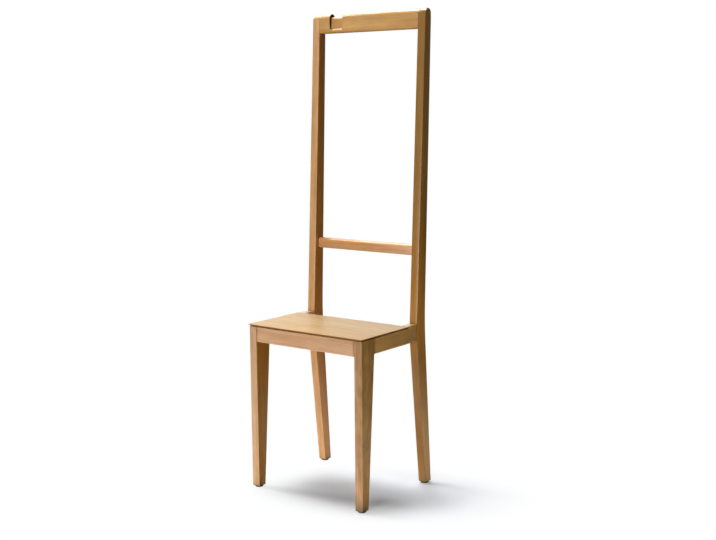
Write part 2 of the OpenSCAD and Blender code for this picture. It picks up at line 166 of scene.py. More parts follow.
def addRelief(tree, shader, height, strength, distance):
    relief = addNode(tree, "ShaderNodeBump")
    relief.inputs["Strength"].default_value = strength
    relief.inputs["Distance"].default_value = distance
    feed(tree, relief.inputs["Height"], height)
    feed(tree, shader.inputs["Normal"], relief.outputs[0])


# the figure of the wood, in millimetres
figure = {
    # how fast each pattern changes, twice across the grain and then along it
    "slowBend": (0.012, 0.012, 0.0016),
    "bands": (0.055, 0.055, 0.0035),
    "streaks": (0.42, 0.42, 0.009),
    "fibres": (2.6, 2.6, 0.05),
    "seedStep": (17.3, -9.1, 211.0),  # how far the patterns move from one seed to the next
    "bentBy": (16.0, 16.0, 0.0),
    "yearSwing": (0.06, 3.0),  # how fast and how much the years grow unevenly
    "lateWood": (0.30, 0.93, 0.94, 1.0),  # where in a ring it darkens, and where it ends
    "faintestYear": 0.35,
    "rayCell": (7.0, 0.55, 2.4),  # towards the pith, round it and along the grain
    "rayArc": 90.0,  # the radius at which the cell's size round the pith is true
    "rayFray": ((0.5, 0.5, 0.5), 1.4),
    "rayEdge": (0.10, 0.34),
    "rayKept": (0.15, 0.95),  # some cells have no ray, some a faint one
    "endCut": (0.70, 0.97),  # how squarely a face has to cut the grain to show end grain
    "fleckTone": (0.80, 0.72, 0.64),
    "depth": {"start": 0.40, "ringMiddle": 0.25, "swing": 2.0, "fibre": 0.45, "range": (-0.15, 1.15)},
    "roughness": {"start": 0.36, "fibre": 0.10, "end": 0.30, "fleck": -0.06},
    "height": {"fibre": 0.55, "streak": 0.30, "ring": 0.18, "fleck": -0.22},
}


def growthRings(tree, given, bent):
    # rings round the pith, each year with its own width and strength
    radius = calcVector(tree, "LENGTH", calcVector(tree, "MULTIPLY", bent, (1, 1, 0)))
    pace, swing = figure["yearSwing"]
    uneven = addNode(tree, "ShaderNodeTexNoise", noise_dimensions="1D")
    feed(tree, uneven.inputs["W"], calc(tree, "MULTIPLY_ADD", radius, pace, given["Seed"]))
    uneven.inputs["Scale"].default_value = 1.0
    phase = calc(tree, "ADD", calc(tree, "DIVIDE", radius, given["Ring Width"]),
                 around(tree, uneven.outputs[0], swing))
    darkFrom, darkTo, endFrom, endTo = figure["lateWood"]
    inRing = calc(tree, "FRACT", phase)
    late = calc(tree, "MULTIPLY", ramp(tree, inRing, darkFrom, darkTo),
                ramp(tree, inRing, endFrom, endTo, 1.0, 0.0))
    yearly = addNode(tree, "ShaderNodeTexWhiteNoise", noise_dimensions="1D")
    feed(tree, yearly.inputs["W"], calc(tree, "FLOOR", phase))
    strength = ramp(tree, yearly.outputs["Value"], 0.0, 1.0, figure["faintestYear"], 1.0)
    return radius, calc(tree, "MULTIPLY", late, strength)


def rayFlecks(tree, bent, radius, noiseAt):
    # short dashes along the grain, and wider ribbons where a face runs towards the pith
    x, y, z = splitVector(tree, bent)
    arc = calc(tree, "MULTIPLY", calc(tree, "ARCTAN2", y, x), figure["rayArc"])
    cells = joinVector(tree, *(calc(tree, "DIVIDE", value, size)
                               for value, size in zip((radius, arc, z), figure["rayCell"])))
    pace, amount = figure["rayFray"]
    frayed = noise(tree, calcVector(tree, "MULTIPLY", noiseAt, pace), roughness=0.6).outputs["Color"]
    frayed = scaleVector(tree, calcVector(tree, "SUBTRACT", frayed, (0.5, 0.5, 0.5)), amount)
    rays = addNode(tree, "ShaderNodeTexVoronoi")
    feed(tree, rays.inputs["Vector"], calcVector(tree, "ADD", cells, frayed))
    rays.inputs["Scale"].default_value = 1.0
    random = addNode(tree, "ShaderNodeSeparateColor")
    feed(tree, random.inputs[0], rays.outputs["Color"])
    return calc(tree, "MULTIPLY", ramp(tree, rays.outputs["Distance"], *figure["rayEdge"], 1.0, 0.0),
                ramp(tree, random.outputs[0], *figure["rayKept"]))


def makeGrainGroup():
    # solid hardwood: the grain runs along Z of the vector, and the pith is its Z axis
    tree = bpy.data.node_groups.new("hardwoodGrain", "ShaderNodeTree")
    given, made = groupSockets(tree, (
        ("Vector", "Vector", None),
        ("Grain Axis", "Vector", (0, 0, 1)),
        ("Pale", "Color", (0.66, 0.40, 0.20, 1)),
        ("Deep", "Color", (0.42, 0.21, 0.08, 1)),
        ("End Tone", "Color", (0.71, 0.64, 0.57, 1)),
        ("Ring Width", "Float", 2.6),
        ("Rings", "Float", 0.35),
        ("Bands", "Float", 0.7),
        ("Streaks", "Float", 0.5),
        ("Flecks", "Float", 0.6),
        ("Seed", "Float", 0.0),
    ), (("Color", "Color"), ("Roughness", "Float"), ("Height", "Float"), ("End Grain", "Float")))

    inMm = scaleVector(tree, given["Vector"], 1.0 / mm)
    shift = joinVector(tree, *(calc(tree, "MULTIPLY", given["Seed"], step) for step in figure["seedStep"]))
    noiseAt = calcVector(tree, "ADD", inMm, shift)

    slow = noise(tree, calcVector(tree, "MULTIPLY", noiseAt, figure["slowBend"])).outputs["Color"]
    swing = calcVector(tree, "SUBTRACT", slow, (0.5, 0.5, 0.5))
    bent = calcVector(tree, "ADD", inMm, calcVector(tree, "MULTIPLY", swing, figure["bentBy"]))
    radius, rings = growthRings(tree, given, bent)

    # long soft bands, streaks and fibres along the grain
    bandAt, streakAt, fibreAt = (calcVector(tree, "MULTIPLY", noiseAt, figure[pattern])
                                 for pattern in ("bands", "streaks", "fibres"))
    band = noise(tree, bandAt, detail=3.0, roughness=0.55).outputs[0]
    streak = noise(tree, streakAt, detail=4.0, roughness=0.6).outputs[0]
    fibre = noise(tree, fibreAt).outputs[0]
    fleck = rayFlecks(tree, bent, radius, noiseAt)

    # where the surface cuts across the grain
    normal = addNode(tree, "ShaderNodeNewGeometry").outputs["Normal"]
    across = calc(tree, "ABSOLUTE", calcVector(tree, "DOT_PRODUCT", normal, given["Grain Axis"]))
    endGrain = ramp(tree, across, *figure["endCut"])

    look = figure["depth"]
    depth = weighted(tree, look["start"],
                     (calc(tree, "SUBTRACT", rings, look["ringMiddle"]), given["Rings"]),
                     (around(tree, band, look["swing"]), given["Bands"]),
                     (around(tree, streak, look["swing"]), given["Streaks"]),
                     (around(tree, fibre, look["fibre"]), 1.0))
    plain = mixColour(tree, ramp(tree, depth, *look["range"]), given["Pale"], given["Deep"])
    fleckColour = shaded(tree, 1.0, given["Deep"], figure["fleckTone"])
    flecked = mixColour(tree, calc(tree, "MULTIPLY", fleck, given["Flecks"]), plain, fleckColour)
    feed(tree, made["Color"], mixColour(tree, endGrain, flecked, given["End Tone"], "MULTIPLY"))

    look = figure["roughness"]
    rough = weighted(tree, look["start"], (fibre, look["fibre"]), (endGrain, look["end"]),
                     (fleck, look["fleck"]))
    feed(tree, made["Roughness"], rough)
    look = figure["height"]
    height = weighted(tree, 0.0, (fibre, look["fibre"]), (streak, look["streak"]), (rings, look["ring"]),
                      (fleck, look["fleck"]))
    feed(tree, made["Height"], height)
    feed(tree, made["End Grain"], endGrain)
    return tree


edgeLook = {
    "samples": 6,
    # the share of rays stopped nearby where an edge or a joint starts, and where it is full
    "edge": (0.12, 0.62),
    "joint": (0.03, 0.30),
    "patches": (0.30, 0.62, 0.25, 1.0),
}


def makeEdgeGroup():
    # rays sent into the solid meet the next face near an outer edge, and rays sent out meet
    # the neighbour in a joint: the first is where edges get rubbed, and on wood also get a painted
    # highlight; the second is where dust stays and shade is painted
    tree = bpy.data.node_groups.new("edgeWear", "ShaderNodeTree")
    given, made = groupSockets(tree, (
        ("Vector", "Vector", None),
        ("Reach", "Float", 0.003),
        ("Joint Reach", "Float", 0.0016),
        ("Patch Size", "Float", 0.03),
    ), (("Edge", "Float"), ("Joint", "Float")))
    samples = edgeLook["samples"]
    inside = addNode(tree, "ShaderNodeAmbientOcclusion", inside=True, only_local=True, samples=samples)
    feed(tree, inside.inputs["Distance"], given["Reach"])
    near = ramp(tree, calc(tree, "SUBTRACT", 1.0, inside.outputs["AO"]), *edgeLook["edge"])
    patchAt = calcVector(tree, "DIVIDE", given["Vector"], given["Patch Size"])
    patch = noise(tree, patchAt, detail=3.0, roughness=0.6).outputs[0]
    feed(tree, made["Edge"], calc(tree, "MULTIPLY", near, ramp(tree, patch, *edgeLook["patches"])))
    outside = addNode(tree, "ShaderNodeAmbientOcclusion", samples=samples)
    feed(tree, outside.inputs["Distance"], given["Joint Reach"])
    closed = calc(tree, "SUBTRACT", 1.0, outside.outputs["AO"])
    feed(tree, made["Joint"], ramp(tree, closed, *edgeLook["joint"]))
    return tree


grainGroup = makeGrainGroup()
edgeGroup = makeEdgeGroup()


wood = {
    "pale": (0.74, 0.47, 0.26),
    "deep": (0.50, 0.265, 0.11),
    "sawnPale": (0.60, 0.42, 0.25),
    "sawnDeep": (0.40, 0.25, 0.13),
    "dowelPale": (0.72, 0.54, 0.34),
    "dowelDeep": (0.55, 0.37, 0.20),
    "bump": 0.10 * mm,
    "ior": 1.48,
    "coatIor": 1.55,
    "coatRoughness": 0.32,
    "edgeReach": 3 * mm,
    "edgePatch": 35 * mm,
    "rubbed": 0.30,  # how pale an edge gets, from rubbing and from a painted highlight along it
    "polished": -0.06,  # and how much smoother
    "staveShift": (0.10, 0.05, 1.5),
    "staveTones": (0.93, 1.06),
    "cloudPace": (70.0, 70.0, 24.0),  # in a metre, twice across the grain and then along it
    "cloudEdge": (0.30, 0.70),
    "rightFace": (0.55, 0.95),  # how squarely a face looks to +X, where the painted side shade starts and is full
    # dust in joints, and painted shade in corners and under the board's lip
    "dust": (0.34, 0.21, 0.09),
    "glue": (0.68, 0.55, 0.40),
    "scuff": (0.42, 0.56, 0.62),
    "scuffHeights": (2 * mm, 36 * mm),
    "smearPace": (160.0, 160.0, 60.0),
    "smear": 30 * mm,
    "sole": (0.30, 0.28, 0.28),
    "soleHeights": (5 * mm, 8 * mm),
    "soleDark": 0.75,
}

# what a piece of wood is like where its own entry doesn't say otherwise
plainPiece = {
    "tone": (1, 1, 1),
    "endTone": (0.71, 0.64, 0.57),
    "ringWidth": 2.6,  # in mm
    "rings": 0.35,
    "bands": 0.7,
    "streaks": 0.5,
    "flecks": 0.5,
    "mottle": 0.05,
    "dustReach": 2.2 * mm,
    "dust": 0.95,
    "rougher": 0.0,
    "relief": 0.55,
    "gloss": 0.5,
    "lacquer": 1.0,
    "dryEnds": 0.0,  # end grain soaks the lacquer up where this is 1
}

# how a mapped vector is turned so that the grain ends up along its Z
grainTurns = {"X": (0, -math.pi / 2, 0), "Y": (math.pi / 2, 0, 0), "Z": (0, 0, 0)}
grainAxes = {"X": (1, 0, 0), "Y": (0, 1, 0), "Z": (0, 0, 1)}


def tinted(colour, tone):
    return tuple(c * t for c, t in zip(colour, tone)) + (1.0,)


def alongGrain(tree, piece, place):
    turn = addNode(tree, "ShaderNodeMapping")
    turn.inputs["Rotation"].default_value = grainTurns[piece["grain"]]
    turn.inputs["Location"].default_value = (*piece["pith"], 0.0)
    feed(tree, turn.inputs["Vector"], place)
    return turn.outputs[0]


def changed(tree, colours, factor, tone):
    return [mixColour(tree, factor, colour, tone, "MULTIPLY") for colour in colours]


def glueStaves(tree, piece, place, vector, colours):
    # boards glued edge to edge: each has its own place in its tree and its own tone
    stave = calc(tree, "FLOOR", calc(tree, "DIVIDE", splitVector(tree, place)["Y"], piece["staves"]))
    random = addNode(tree, "ShaderNodeTexWhiteNoise", noise_dimensions="1D")
    feed(tree, random.inputs["W"], calc(tree, "ADD", stave, piece["seed"]))
    swing = calcVector(tree, "SUBTRACT", random.outputs["Color"], (0.5, 0.5, 0.5))
    vector = calcVector(tree, "ADD", vector, calcVector(tree, "MULTIPLY", swing, wood["staveShift"]))
    light = ramp(tree, random.outputs["Value"], 0.0, 1.0, *wood["staveTones"])
    return vector, changed(tree, colours, 1.0, light)


def cloudTones(tree, piece, vector, colours):
    # slow cloudiness along the grain
    cloud = noise(tree, calcVector(tree, "MULTIPLY", vector, wood["cloudPace"])).outputs[0]
    light = ramp(tree, cloud, *wood["cloudEdge"], 1 - piece["mottle"], 1 + piece["mottle"])
    return changed(tree, colours, 1.0, light)


def paintSideShade(tree, piece, colours):
    # painted shade: the face that looks to +X gets a darker, more orange tone than the rest, standing in for
    # the shade there
    normal = addNode(tree, "ShaderNodeNewGeometry").outputs["Normal"]
    onShadedSide = ramp(tree, calcVector(tree, "DOT_PRODUCT", normal, (1, 0, 0)), *wood["rightFace"])
    change = tuple(f / t for f, t in zip(piece["faceTone"], piece["tone"])) + (1.0,)
    return changed(tree, colours, onShadedSide, change)


def darkenBesideJoints(tree, piece, place, colour):
    # a rail is darker just beside its joints
    first, last = piece["ends"]
    half = (last - first) / 2
    along = calcVector(tree, "DOT_PRODUCT", place, grainAxes[piece["grain"]])
    fromMiddle = calc(tree, "ABSOLUTE", calc(tree, "SUBTRACT", along, (first + last) / 2))
    beside = ramp(tree, fromMiddle, half - piece["gluedEnds"], half)
    return shaded(tree, beside, colour, wood["glue"])


def shadeUnder(tree, piece, place, colour):
    # painted shade: darker along the lower edge, where less light reaches
    low, high, tone = piece["shadedUnder"]
    return shaded(tree, ramp(tree, splitVector(tree, place)["Z"], low, high, 1.0, 0.0), colour, tone)


def addPaleBand(tree, piece, place, colour):
    # a stretch of paler wood, strongest at the middle height
    low, middle, high, tone = piece["paleBand"]
    height = splitVector(tree, place)["Z"]
    inBand = calc(tree, "MULTIPLY", ramp(tree, height, low, middle),
                  ramp(tree, height, middle, high, 1.0, 0.0))
    return shaded(tree, inBand, colour, tone)


def scuffAndShadeFoot(tree, piece, place, colour):
    # feet get dull and dark near the floor, partly where brooms and shoes reach and partly as painted shade;
    # soles are darker still
    height = splitVector(tree, place)["Z"]
    smearAt = calcVector(tree, "MULTIPLY", place, wood["smearPace"])
    smear = noise(tree, smearAt, detail=3.0, roughness=0.6).outputs[0]
    reached = calc(tree, "ADD", height, around(tree, smear, wood["smear"]))
    # darker near the floor: scuffs, and painted shade
    scuffed = ramp(tree, reached, *wood["scuffHeights"], piece["scuffed"], 0.0)
    colour = shaded(tree, scuffed, colour, wood["scuff"])
    sole = ramp(tree, height, *wood["soleHeights"], wood["soleDark"], 0.0)
    return shaded(tree, sole, colour, wood["sole"])


# what a piece may ask for, in the order in which it is laid over the grain
placedChanges = {
    "gluedEnds": darkenBesideJoints,
    "shadedUnder": shadeUnder,
    "paleBand": addPaleBand,
    "scuffed": scuffAndShadeFoot,
}


def woodMaterial(name, piece, pale="pale", deep="deep"):
    piece = {**plainPiece, **piece}
    material, tree, shader = newMaterial(name)
    place = objectPlace(tree)
    vector = alongGrain(tree, piece, place)
    colours = [tinted(wood[pale], piece["tone"]), tinted(wood[deep], piece["tone"])]
    if "staves" in piece:
        vector, colours = glueStaves(tree, piece, place, vector, colours)
    colours = cloudTones(tree, piece, vector, colours)
    # painted shade on the face that looks to +X
    if "faceTone" in piece:
        colours = paintSideShade(tree, piece, colours)
    grain = useGroup(tree, grainGroup, Vector=vector, Grain_Axis=grainAxes[piece["grain"]],
                     Pale=colours[0], Deep=colours[1], End_Tone=(*piece["endTone"], 1.0),
                     Ring_Width=piece["ringWidth"], Rings=piece["rings"], Bands=piece["bands"],
                     Streaks=piece["streaks"], Flecks=piece["flecks"], Seed=float(piece["seed"]))
    wearAndPaintedLight = useGroup(tree, edgeGroup, Vector=place, Reach=wood["edgeReach"],
                    Joint_Reach=piece["dustReach"], Patch_Size=wood["edgePatch"])
    # edges get paler: rubbed wood, with a painted highlight along them
    rubbed = calc(tree, "MULTIPLY", wearAndPaintedLight["Edge"], wood["rubbed"])
    colour = mixColour(tree, rubbed, grain["Color"], tinted(wood[pale], piece["tone"]))
    # darker where faces close in on a neighbour: dust, and painted shade in the corners
    dustAndShadeMask = calc(tree, "MULTIPLY", wearAndPaintedLight["Joint"], piece["dust"])
    colour = shaded(tree, dustAndShadeMask, colour, wood["dust"])
    for key, change in placedChanges.items():
        if key in piece:
            colour = change(tree, piece, place, colour)
    feed(tree, shader.inputs["Base Color"], colour)
    rough = calc(tree, "ADD", grain["Roughness"], piece["rougher"])
    feed(tree, shader.inputs["Roughness"], weighted(tree, rough, (wearAndPaintedLight["Edge"], wood["polished"])))
    addRelief(tree, shader, grain["Height"], piece["relief"], wood["bump"])
    shader.inputs["IOR"].default_value = wood["ior"]
    shader.inputs["Specular IOR Level"].default_value = piece["gloss"]
    soaked = calc(tree, "MULTIPLY", grain["End Grain"], piece["dryEnds"])
    coat = calc(tree, "MULTIPLY", calc(tree, "SUBTRACT", 1.0, soaked), piece["lacquer"])
    feed(tree, shader.inputs["Coat Weight"], coat)
    shader.inputs["Coat Roughness"].default_value = wood["coatRoughness"]
    shader.inputs["Coat IOR"].default_value = wood["coatIor"]
    return material


# pith: how far the tree's heart lies from the piece, across the grain, in metres
# tone: multiplies the wood's own colours; on the face that looks to +X the side tone takes its place, and it
# holds painted shade
# shadedUnder and paleBand: heights in metres, and the tone that multiplies the wood there
framePieces = {
    "left_front_leg": {
        "grain": "Z", "pith": (0.27, 0.225), "seed": 1, "ringWidth": 2.9,
        "tone": (0.936, 0.989, 1.109), "faceTone": (0.517, 0.397, 0.05),
        "gloss": 0.3, "lacquer": 0.2, "scuffed": 0.35,
    },
    "right_front_leg": {
        "grain": "Z", "pith": (-0.115, 0.215), "seed": 2,
        "tone": (0.679, 0.660, 0.629), "faceTone": (0.656, 0.640, 0.334), "mottle": 0.17,
        # this foot's strong darkening is partly painted shadow, as the foot stands in the seat's shadow
        "gloss": 0.35, "lacquer": 0.5, "scuffed": 0.85,
    },
    "left_rear_post": {
        "grain": "Z", "pith": (0.25, -0.06), "seed": 3,
        "tone": (1.047, 0.952, 0.752), "faceTone": (0.634, 0.432, 0.07),
        "endTone": (0.95, 0.93, 0.90), "scuffed": 0.35,
    },
    "right_rear_post": {
        "grain": "Z", "pith": (-0.10, -0.20), "seed": 4,
        "tone": (0.478, 0.370, 0.091), "faceTone": (0.606, 0.500, 0.07),
        "endTone": (0.95, 0.93, 0.90), "scuffed": 0.35,
        "paleBand": (0.34, 0.45, 0.85, (1.36, 1.28, 1.10)),
    },
    "left_side_rail": {"grain": "Y", "pith": (0.11, -0.50), "seed": 5},
    "right_side_rail": {
        "grain": "Y", "pith": (-0.25, -0.36), "seed": 6,
        "tone": (0.958, 0.937, 0.499), "gluedEnds": 8 * mm,
    },
    "front_rail": {
        "grain": "X", "pith": (0.36, 0.22), "seed": 7, "ringWidth": 3.2,
        "tone": (1.010, 1.009, 1.073), "gluedEnds": 8 * mm,
    },
    "rear_rail": {"grain": "X", "pith": (0.38, -0.10), "seed": 8},
    "seat_board": {
        "grain": "X", "pith": (0.39, 0.05), "seed": 9, "ringWidth": 3.4, "staves": 54 * mm,
        "tone": (0.810, 0.868, 0.779), "bands": 0.45, "streaks": 0.35, "gloss": 0.4, "lacquer": 0.0,
        "dustReach": 5 * mm, "dust": 0.3, "shadedUnder": (0.4592, 0.4600, (0.64, 0.47, 0.28)),
    },
    "mid_rail": {
        "grain": "X", "pith": (0.60, -0.17), "seed": 10,
        "tone": (1.136, 0.940, 0.708), "shadedUnder": (0.643, 0.656, (0.80, 0.92, 1.0)),
    },
    "top_rail": {
        "grain": "X", "pith": (1.17, -0.24), "seed": 11, "ringWidth": 3.0,
        # its near-black end tone is painted shade in the saddle's walls, over end grain's own darker colour
        "tone": (0.976, 0.873, 0.507), "endTone": (0.07, 0.03, 0.015), "dryEnds": 1.0,
    },
}

easing = {
    "frame": {"width": 1.0 * mm, "segments": 3},
    "board": {"width": 0.6 * mm, "segments": 3},
    "saddle": {"width": 0.5 * mm, "segments": 3},
    "block": {"width": 0.6 * mm, "segments": 2},
    "glide": {"width": 0.25 * mm, "segments": 2},
    "from": math.radians(32),  # edges sharper than this are eased
    "flat": math.radians(0.15),  # triangles closer to one plane than this become one face
    "merge": 0.002 * mm,  # corners of loose triangles closer than this are one
}


def plainMesh(thing):
    # what a piece's modifiers make of it, as a mesh of its own
    graph = bpy.context.evaluated_depsgraph_get()
    mesh = bpy.data.meshes.new_from_object(thing.evaluated_get(graph), depsgraph=graph)
    thing.modifiers.clear()
    thing.data = mesh
    mesh.name = thing.name
    return mesh


def markEasedEdges(work):
    # outer corners are eased; the rims of bores and inner corners stay crisp
    boreWalls = set()
    for edge in work.edges:
        if not edge.is_convex and easing["flat"] < edge.calc_face_angle(0) < easing["from"]:
            boreWalls.update(edge.link_faces)
    weights = work.edges.layers.float.new("bevel_weight_edge")
    for edge in work.edges:
        sharp = edge.calc_face_angle(0) > easing["from"]
        eased = sharp and edge.is_convex and boreWalls.isdisjoint(edge.link_faces)
        edge[weights] = float(eased)
        edge.smooth = eased or not sharp


def addObject(name, data):
    thing = bpy.data.objects.new(name, data)
    bpy.context.scene.collection.objects.link(thing)
    return thing


def handOver(thing, nodes):
    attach(thing, "root")
    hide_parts(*nodes)


def easedCopy(node, ease, material, name):
    # a node's own shape with its sharp edges rounded
    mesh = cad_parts[node].data.copy()
    mesh.materials.clear()
    mesh.materials.append(material)
    work = bmesh.new()
    work.from_mesh(mesh)
    bmesh.ops.remove_doubles(work, verts=work.verts, dist=easing["merge"])
    bmesh.ops.dissolve_limit(work, angle_limit=easing["flat"], verts=work.verts, edges=work.edges)
    markEasedEdges(work)
    for face in work.faces:
        face.material_index = 0
        face.smooth = True
    work.to_mesh(mesh)
    work.free()
    thing = addObject(name, mesh)
    rounded = thing.modifiers.new("easedEdges", "BEVEL")
    rounded.width = ease["width"]
    rounded.segments = ease["segments"]
    rounded.limit_method = "WEIGHT"
    rounded.miter_outer = "MITER_ARC"
    rounded.use_clamp_overlap = False
    rounded.harden_normals = True
    plainMesh(thing)
    handOver(thing, [node])


for node, piece in framePieces.items():
    piece["ends"] = [corner["XYZ".index(piece["grain"])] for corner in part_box(node)]
    material = woodMaterial(node + "Wood", piece)
    ease = {"seat_board": "board", "top_rail": "saddle"}.get(node, "frame")
    easedCopy(node, easing[ease], material, node + "_wood")
print("wood: legs, posts, rails and board made")


sawnBlock = {"grain": "X", "rougher": 0.32, "relief": 1.0, "gloss": 0.25, "lacquer": 0.0, "rings": 0.5}
blockPiths = {
    "front_left_corner_block": (0.50, 0.16),
    "front_right_corner_block": (0.47, 0.20),
    "rear_left_corner_block": (0.52, 0.03),
    "rear_right_corner_block": (0.49, 0.05),
}
for seed, (node, pith) in enumerate(blockPiths.items(), 21):
    piece = {**sawnBlock, "pith": pith, "seed": seed}
    material = woodMaterial(node + "Wood", piece, "sawnPale", "sawnDeep")
    easedCopy(node, easing["block"], material, node + "_wood")
print("corner blocks made")


glide = {
    "colour": (0.070, 0.045, 0.030, 1),
    "scuffed": (0.17, 0.13, 0.10, 1),
    "specks": 900.0,  # in a metre
    "speckEdge": (0.3, 0.8),
    "speckStrength": 0.18,
    "edgeReach": 1.2 * mm,
    "edgePatch": 6 * mm,
    "edgeStrength": 0.55,
    "roughEdge": (0.2, 0.8),
    "roughness": (0.46, 0.60),
    "relief": 0.3,
    "bump": 0.05 * mm,
}


def rubbedEdge(tree, place, look):
    edge = useGroup(tree, edgeGroup, Vector=place, Reach=look["edgeReach"], Patch_Size=look["edgePatch"])
    return calc(tree, "MULTIPLY", edge["Edge"], look["edgeStrength"])


def glideMaterial():
    material, tree, shader = newMaterial("glidePlastic")
    place = objectPlace(tree)
    speck = noise(tree, scaleVector(tree, place, glide["specks"]), detail=3.0, roughness=0.6).outputs[0]
    edge = rubbedEdge(tree, place, glide)
    specked = ramp(tree, speck, *glide["speckEdge"], 0.0, glide["speckStrength"])
    colour = mixColour(tree, specked, glide["colour"], glide["scuffed"])
    feed(tree, shader.inputs["Base Color"], mixColour(tree, edge, colour, glide["scuffed"]))
    feed(tree, shader.inputs["Roughness"], ramp(tree, speck, *glide["roughEdge"], *glide["roughness"]))
    addRelief(tree, shader, speck, glide["relief"], glide["bump"])
    return material


glidePlastic = glideMaterial()
for corner in ("front_left", "front_right", "rear_left", "rear_right"):
    easedCopy(corner + "_glide", easing["glide"], glidePlastic, corner + "_glide_button")
print("glides made")


plating = {
    "colour": (0.60, 0.60, 0.60, 1),
    "warm": (0.66, 0.62, 0.52, 1),
    "dull": (0.34, 0.34, 0.35, 1),
    "clouds": 260.0,  # in a metre
    "cloudEdge": (0.35, 0.65),
    "grit": 2400.0,
    "edgeReach": 0.8 * mm,
    "edgePatch": 4 * mm,
    "edgeStrength": 0.4,
    "roughEdge": (0.2, 0.8),
    "roughness": (0.26, 0.40),
    "relief": 0.2,
    "bump": 0.02 * mm,
}


def steelMaterial():
    material, tree, shader = newMaterial("zincPlatedSteel")
    place = objectPlace(tree)
    cloud = noise(tree, scaleVector(tree, place, plating["clouds"]), detail=3.0, roughness=0.6).outputs[0]
    grit = noise(tree, scaleVector(tree, place, plating["grit"])).outputs[0]
    edge = rubbedEdge(tree, place, plating)
    colour = mixColour(tree, ramp(tree, cloud, *plating["cloudEdge"]), plating["colour"], plating["warm"])
    feed(tree, shader.inputs["Base Color"], mixColour(tree, edge, colour, plating["dull"]))
    feed(tree, shader.inputs["Roughness"], ramp(tree, grit, *plating["roughEdge"], *plating["roughness"]))
    shader.inputs["Metallic"].default_value = 1.0
    addRelief(tree, shader, grit, plating["relief"], plating["bump"])
    return material


turning = {
    "sidesPerFlute": 4.0,
    "grooveSlope": 4.0,  # how steeply a thread's flanks rise from its root
    "grooveBlend": 0.3,
    "finestPitch": 0.1 * mm,  # a piece without a thread has the pitch 0, and nothing divides by that
    "armLength": 4.4,  # of the cross recess, in widths of its arm
    "crease": math.radians(38),  # edges sharper than this stay crisp
}


def named(tree, name, kind="FLOAT"):
    node = addNode(tree, "GeometryNodeInputNamedAttribute", data_type=kind)
    node.inputs["Name"].default_value = name
    return node.outputs["Attribute"]


def sweepSpine(tree, given):
    # a round skin along the spine, as wide as its attribute "girth" says
    source = addNode(tree, "GeometryNodeObjectInfo")
    feed(tree, source.inputs["Object"], given["Spine"])
    line = addNode(tree, "GeometryNodeMeshToCurve")
    feed(tree, line.inputs["Mesh"], source.outputs["Geometry"])
    ring = addNode(tree, "GeometryNodeCurvePrimitiveCircle")
    feed(tree, ring.inputs["Resolution"], given["Sides"])
    ring.inputs["Radius"].default_value = 1.0
    swept = addNode(tree, "GeometryNodeCurveToMesh")
    feed(tree, swept.inputs["Curve"], line.outputs[0])
    feed(tree, swept.inputs["Profile Curve"], ring.outputs[0])
    feed(tree, swept.inputs["Scale"], named(tree, "girth"))
    swept.inputs["Fill Caps"].default_value = True
    return swept.outputs[0]


def carveSkin(tree, given, skin):
    # flutes and thread move the skin in towards the axis, only where "worked" says so
    at = addNode(tree, "GeometryNodeInputPosition").outputs[0]
    x, y, z = splitVector(tree, at)
    turnShare = calc(tree, "DIVIDE", calc(tree, "ARCTAN2", y, x), 2 * math.pi)
    flutes = calc(tree, "DIVIDE", given["Sides"], turning["sidesPerFlute"])
    wave = calc(tree, "MULTIPLY", calc(tree, "MULTIPLY", turnShare, flutes), 2 * math.pi)
    flute = calc(tree, "MULTIPLY", calc(tree, "SUBTRACT", 1.0, calc(tree, "COSINE", wave)), 0.5)
    pitch = calc(tree, "MAXIMUM", given["Thread Pitch"], turning["finestPitch"])
    along = calc(tree, "DIVIDE", z, pitch)
    winding = calc(tree, "PINGPONG", calc(tree, "SUBTRACT", along, turnShare), 0.5)
    flank = calc(tree, "MULTIPLY", winding, turning["grooveSlope"])
    groove = calc(tree, "SMOOTH_MIN", flank, 1.0, turning["grooveBlend"])
    depth = weighted(tree, 0.0, (flute, given["Flute Depth"]), (groove, given["Thread Depth"]))
    inward = calc(tree, "MULTIPLY", depth, named(tree, "worked"))
    outward = calcVector(tree, "NORMALIZE", calcVector(tree, "MULTIPLY", at, (1, 1, 0)))
    shaped = addNode(tree, "GeometryNodeSetPosition")
    feed(tree, shaped.inputs["Geometry"], skin)
    feed(tree, shaped.inputs["Offset"], scaleVector(tree, outward, calc(tree, "MULTIPLY", inward, -1.0)))
    return shaped.outputs[0]


def cutCross(tree, given, body):
    # a cross recess, cut down into the head where the tree is given a depth for it
    width, depth = given["Cross Width"], given["Cross Depth"]
    length = calc(tree, "MULTIPLY", width, turning["armLength"])
    cutter = addNode(tree, "GeometryNodeMeshBoolean", operation="UNION", solver="EXACT")
    for size in ((length, width), (width, length)):
        arm = addNode(tree, "GeometryNodeMeshCube")
        feed(tree, arm.inputs["Size"], joinVector(tree, *size, calc(tree, "MULTIPLY", depth, 2.0)))
        tree.links.new(arm.outputs["Mesh"], cutter.inputs["Mesh 2"])
    cut = addNode(tree, "GeometryNodeMeshBoolean", operation="DIFFERENCE", solver="EXACT")
    feed(tree, cut.inputs["Mesh 1"], body)
    tree.links.new(cutter.outputs[0], cut.inputs["Mesh 2"])
    choice = addNode(tree, "GeometryNodeSwitch", input_type="GEOMETRY")
    feed(tree, choice.inputs["Switch"], calc(tree, "GREATER_THAN", depth, 0.0))
    feed(tree, choice.inputs["False"], body)
    feed(tree, choice.inputs["True"], cut.outputs[0])
    return choice.outputs[0]


